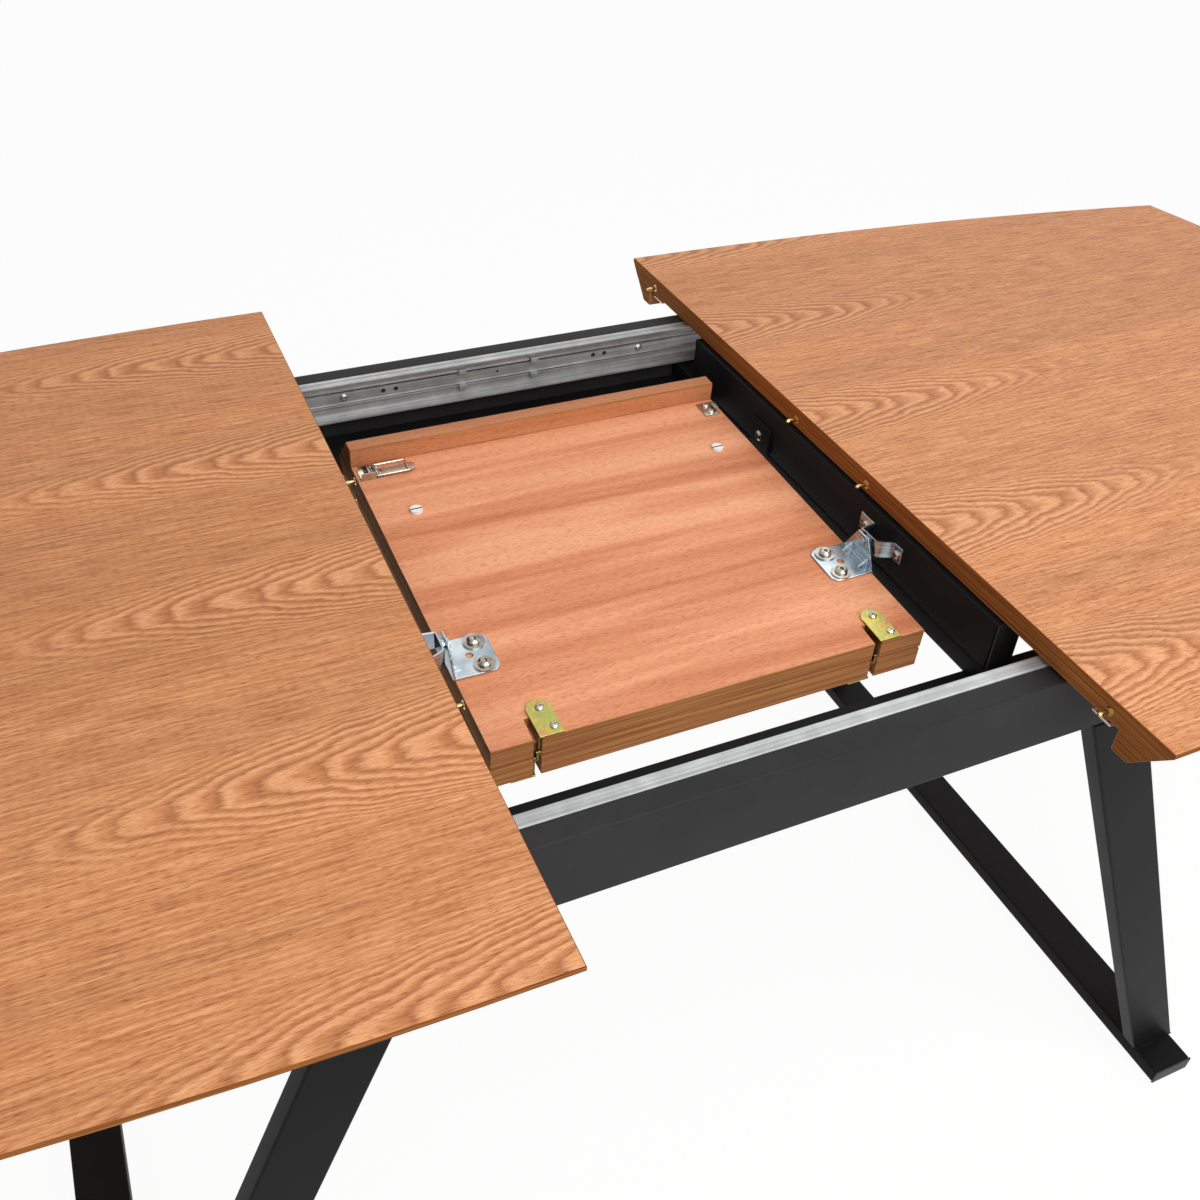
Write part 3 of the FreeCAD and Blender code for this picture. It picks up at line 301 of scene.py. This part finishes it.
# Painted shade: dark grey faces inside the white buttons' screwdriver slots.
SLOT_SHADE = moulded_plastic("painted_slot_shade", "#4a4948", "#3a3938", 0.6)
SCREW_ZINC = rolled_zinc("zinc_screw", ["#8d8a80", "#b4b0a6", "#d8d6d0"], (0.2, 0.35), (90.0, 90.0, 90.0))
NICKEL = rolled_zinc("bright_nickel", ["#a39d93", "#c8c3ba", "#e3dfd8"], (0.12, 0.24), (40.0, 40.0, 40.0))
BRASS = rolled_zinc("turned_brass", ["#a88548", "#cdaf74", "#e9d5a8"], (0.16, 0.3), (700.0, 40.0, 40.0))
NYLON_WHITE = moulded_plastic("white_nylon", "#f0efec", "#e2e0dc", 0.42)
PLASTIC_BLACK = moulded_plastic("black_plastic", "#1a1a1a", "#141414", 0.55)


# Pieces that take over a solid's shape with eased edges

BOARD_EASE, LIP_EASE, TUBE_EASE = 0.6 * MM, 1.2 * MM, 2.2 * MM
STRIP_EASE, ROLLED_EASE, BRACKET_EASE, HINGE_EASE = 0.8 * MM, 0.35 * MM, 0.5 * MM, 0.4 * MM
LONG_EDGE, SHORT_EDGE = 8 * MM, 4 * MM
WELD_DISTANCE = 0.002 * MM
SHARP_ANGLE, FLAT_ANGLE = math.radians(35.0), math.radians(0.6)
LEVEL = 0.97


def add_piece(name, mesh):
    """Links a mesh to the scene as an object at the origin."""
    piece = bpy.data.objects.new(name, mesh)
    bpy.context.scene.collection.objects.link(piece)
    return piece


def eased(node, name, width, materials, pick=None, least_edge=LONG_EDGE):
    """A merged copy of a solid whose long sharp edges are rounded; pick gives a face's material."""
    mesh = bpy.data.meshes.new(name)
    bm = bmesh.new()
    bm.from_mesh(frame["nodes"][node].data)
    bmesh.ops.remove_doubles(bm, verts=bm.verts, dist=WELD_DISTANCE)
    bmesh.ops.dissolve_limit(bm, angle_limit=FLAT_ANGLE, verts=bm.verts, edges=bm.edges)
    sharp = [edge for edge in bm.edges if len(edge.link_faces) == 2 and edge.calc_length() > least_edge
             and edge.calc_face_angle() > SHARP_ANGLE]
    if width and sharp:
        bmesh.ops.bevel(bm, geom=sharp, offset=width, offset_type="OFFSET", affect="EDGES", segments=2,
                        profile=0.5, material=-1, clamp_overlap=False)
    bm.normal_update()
    for face in bm.faces:
        face.smooth = True
        face.material_index = pick(face) if pick else 0
    bm.to_mesh(mesh)
    bm.free()
    mesh.set_sharp_from_angle(angle=SHARP_ANGLE)
    piece = add_piece(name, mesh)
    for material in materials:
        mesh.materials.append(material)
    piece.modifiers.new("even_normals", "WEIGHTED_NORMAL").keep_sharp = True
    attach(piece, BODY_OF[node])
    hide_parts(node)


def finish_solids(material, *nodes):
    """Keeps solids as they are and gives them a finish."""
    for node in nodes:
        materials = frame["nodes"][node].data.materials
        materials.clear()
        materials.append(material)


def face_up(face):
    """0 for the face veneer on top, 1 for an edge, 2 for the backing below."""
    if face.normal.z > LEVEL:
        return 0
    return 2 if face.normal.z < -LEVEL else 1


def face_down(face):
    """As face_up, for a panel that is stored with its face veneer below."""
    return 2 - face_up(face)


def bevel_out(face):
    """On a lip, the bevelled outside and the cut ends are edge banded and the rest is backing."""
    steep, end = 0.1, 0.99
    flat = abs(face.normal.z) > LEVEL or abs(face.normal.z) < steep
    return 1 if flat and abs(face.normal.x) < end else 0


def wing_in_shade(node):
    """On a hinge, the wing that stands in the slot takes a darker copy of the yellow zinc as painted shade of
    the slot, and the plate on the panel keeps the plain yellow zinc.
    """
    low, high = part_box(node)
    sheet = 2.2 * MM
    upright = node == "leaf_front_hinge_plates"
    edge = high[2] - sheet if upright else low[2] + sheet
    return lambda face: int((face.calc_center_median().z < edge) == upright)


def slot_shade_face(face):
    """On a button, the walls and floor of the screwdriver slot are painted dark grey: painted shade in the
    slot.
    """
    least_area, rim_corners, upright = 10 * MM * MM, 30, 0.9
    wide = face.calc_area() > least_area
    return 1 if wide and len(face.verts) < rim_corners and abs(face.normal.z) < upright else 0


def dress_wood():
    """Veneered boards and lips: the left and right half of the top, then the two halves of the leaf."""
    # The leaf halves take the lighter copy of the edge band: painted light.
    halves = (("left_top", OAK_EDGE, face_up), ("right_top", OAK_EDGE, face_up),
              ("leaf_front", LIT_EDGE_BAND, face_down), ("leaf_back", LIT_EDGE_BAND, face_up))
    for half, edge, pick in halves:
        eased(half + "_board", half + "_veneered_board", BOARD_EASE, [OAK_FACE, edge, OKOUME], pick)
        eased(half + "_lip", half + "_edge_lip", LIP_EASE, [edge, LIP_WOOD], bevel_out)


def dress_frame():
    """Coated tubes, strips and plates of the frame, with its plastic ends."""
    for node in ("front_rail", "back_rail"):
        # The rails take the lighter copy of the coat: painted light.
        eased(node, node + "_coated_tube", TUBE_EASE, [LIT_RAIL_BLACK])
    for node in ("crossbars", "crossbar_bases", "left_leg_posts", "right_leg_posts", "left_runner",
                 "right_runner"):
        eased(node, node + "_coated_tube", TUBE_EASE, [STEEL_BLACK])
    eased("rail_ledges", "rail_ledges_coated_strip", STRIP_EASE, [STEEL_BLACK])
    eased("crossbar_plates", "crossbar_plates_coated", STRIP_EASE, [STEEL_BLACK])
    finish_solids(PLASTIC_BLACK, "tube_caps", "floor_pads")


def dress_slides():
    """Rolled channels, members and angles, and the ball cages between them."""
    eased("slide_channels", "slide_channels_rolled", ROLLED_EASE, [SLIDE_ZINC])
    for side in ("left", "right"):
        for part in ("members", "angles"):
            eased(f"{side}_slide_{part}", f"{side}_slide_{part}_rolled", ROLLED_EASE, [SLIDE_ZINC])
        finish_solids(SLIDE_ZINC, side + "_ball_cages")


def dress_fittings():
    """Pivots, hinges, latches, pins, caps and screws."""
    for node in ("pivot_brackets", "pivot_hats"):
        eased(node, node + "_plated", BRACKET_EASE, [BRACKET_ZINC], least_edge=SHORT_EDGE)
    for half in ("leaf_front", "leaf_back"):
        plates = half + "_hinge_plates"
        eased(plates, plates + "_plated", HINGE_EASE, [YELLOW_ZINC, SHADED_YELLOW_ZINC], wing_in_shade(plates), SHORT_EDGE)
        eased(half + "_buttons", half + "_slotted_caps", 0.0, [NYLON_WHITE, SLOT_SHADE], slot_shade_face)
        latch = [f"{half}_{part}" for part in ("keeper", "latch_base", "latch_lever", "latch_bail")]
        finish_solids(NICKEL, *latch)
    finish_solids(NICKEL, "left_top_keepers", "right_top_latch_bases", "front_latch_lever",
                  "front_latch_bail", "back_latch_lever", "back_latch_bail")
    finish_solids(BRASS, "leaf_front_pins", "leaf_back_pins", "right_top_pins")
    finish_solids(SCREW_ZINC, "leaf_front_screws", "leaf_back_screws", "frame_screws", "left_top_screws",
                  "right_top_screws")
    finish_solids(BOLT_STEEL, "pivot_bolts", "pivot_washers")
    finish_solids(BRACKET_ZINC, "pivot_rivets")
    # The fold links take the darker copy of the yellow zinc: painted shade in the slots.
    finish_solids(SHADED_YELLOW_ZINC, "fold_links")


# Stage, light and camera

def seen_rays(tree):
    """1 for rays that show the backdrop: from the camera, in a reflection or through glass."""
    rays = add_node(tree, "ShaderNodeLightPath").outputs
    seen = math_node(tree, "MAXIMUM", rays["Is Camera Ray"], rays["Is Glossy Ray"])
    return math_node(tree, "MAXIMUM", seen, rays["Is Transmission Ray"])


def make_floor():
    """A white floor, mostly glowing where it is seen, that keeps the table's shadow."""
    half_size, drop, glow_share = 14.0, 0.4 * MM, 0.94
    mesh = bpy.data.meshes.new("studio_floor")
    bm = bmesh.new()
    bmesh.ops.create_grid(bm, x_segments=1, y_segments=1, size=half_size)
    bmesh.ops.translate(bm, verts=bm.verts, vec=(0.0, 0.0, -drop))
    bm.to_mesh(mesh)
    bm.free()
    floor = add_piece("studio_floor", mesh)
    material, tree, shader, _ = new_material("white_studio_floor")
    set_shader(tree, shader, Base_Color=linear("#fafaf9"), Roughness=0.9)
    share = math_node(tree, "MULTIPLY", seen_rays(tree), glow_share)
    glow = add_node(tree, "ShaderNodeEmission", {"Color": WHITE, "Strength": 1.0})
    mix = add_node(tree, "ShaderNodeMixShader", {0: share, 1: shader.outputs[0], 2: glow.outputs[0]})
    tree.links.new(mix.outputs[0], tree.nodes["Material Output"].inputs["Surface"])
    mesh.materials.append(material)


def make_world():
    """White where it is seen, and half as strong as a light."""
    light_strength, seen_strength = 0.5, 1.0
    world = bpy.data.worlds.new("studio")
    bpy.context.scene.world = world
    world.use_nodes = True
    tree = world.node_tree
    strength = spread(tree, seen_rays(tree), light_strength, seen_strength)
    backdrop = tree.nodes["Background"]
    backdrop.inputs["Color"].default_value = WHITE
    tree.links.new(strength, backdrop.inputs["Strength"])


def add_softbox(name, place, aim, size, power):
    """A square area light turned to a point."""
    lamp = bpy.data.lights.new(name, "AREA")
    lamp.size = size
    lamp.energy = power
    box = add_piece(name, lamp)
    box.location = place
    box.rotation_euler = (Vector(aim) - Vector(place)).to_track_quat("-Z", "Y").to_euler()


def make_camera():
    """The photograph's viewpoint, found from its vanishing lines for a 1200 x 1200 frame."""
    right = Vector((0.91357, -0.40459, 0.04116))
    up = Vector((0.22499, 0.58715, 0.77758))
    forward = Vector((0.33877, 0.70112, -0.62743))
    place = Vector((-0.4086, -0.8192, TABLE_HEIGHT + 0.6035))
    lens = bpy.data.cameras.new("photo_camera")
    lens.sensor_width = 36.0
    lens.lens = 36.345
    lens.clip_end = 60.0
    camera = add_piece("photo_camera", lens)
    turn = Matrix((right, up, -forward)).transposed()
    camera.matrix_world = Matrix.Translation(place) @ turn.to_4x4()
    bpy.context.scene.camera = camera


dress_wood()
dress_frame()
dress_slides()
dress_fittings()
make_floor()
make_world()
add_softbox("key_softbox", (0.25, -1.35, 1.85), (0.1, -0.1, TABLE_HEIGHT), 1.8, 31.0)
add_softbox("fill_softbox", (2.0, 1.2, 3.0), (0.0, 0.0, TABLE_HEIGHT), 2.4, 22.0)
make_camera()
bpy.context.scene.view_settings.view_transform = "Standard"
